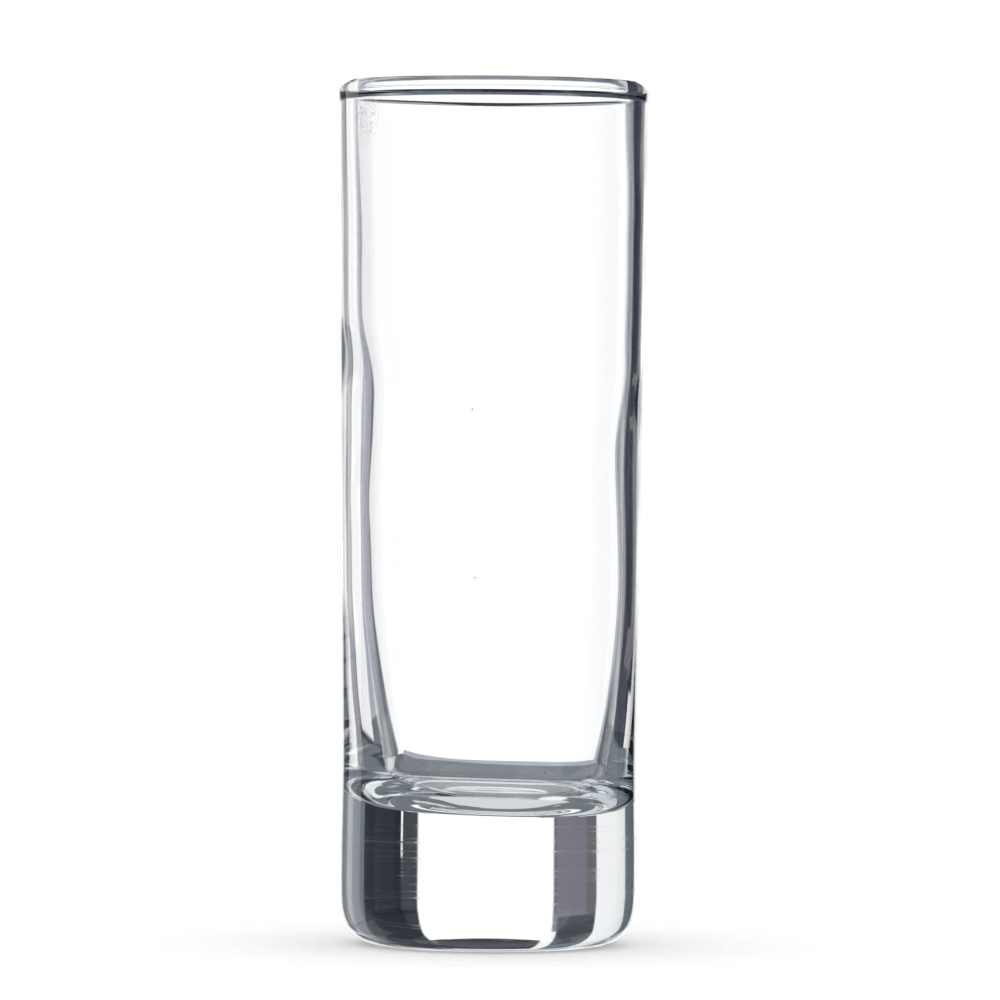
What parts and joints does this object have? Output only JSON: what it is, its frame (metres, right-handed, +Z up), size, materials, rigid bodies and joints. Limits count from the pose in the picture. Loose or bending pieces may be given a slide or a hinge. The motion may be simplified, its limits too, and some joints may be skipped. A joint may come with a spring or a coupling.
{
  "type": "juice glass",
  "caption": "Tall straight clear glass tumbler with a thick solid base, rounded heel and fire-polished lip bead, for juice and other cold drinks.",
  "frame": {"origin": "centre of the standing ring, on the table plane", "axes": "+Z up along the axis of the glass, towards the lip; the glass is round, so X and Y are free"},
  "size_m": [0.0504, 0.0504, 0.14],
  "materials": {
    "clear_glass": "fire-polished clear soda-lime glass with a faint green-grey cast"
  },
  "bodies": {
    "root": {"tumbler": "clear_glass"}
  },
  "joints": []
}
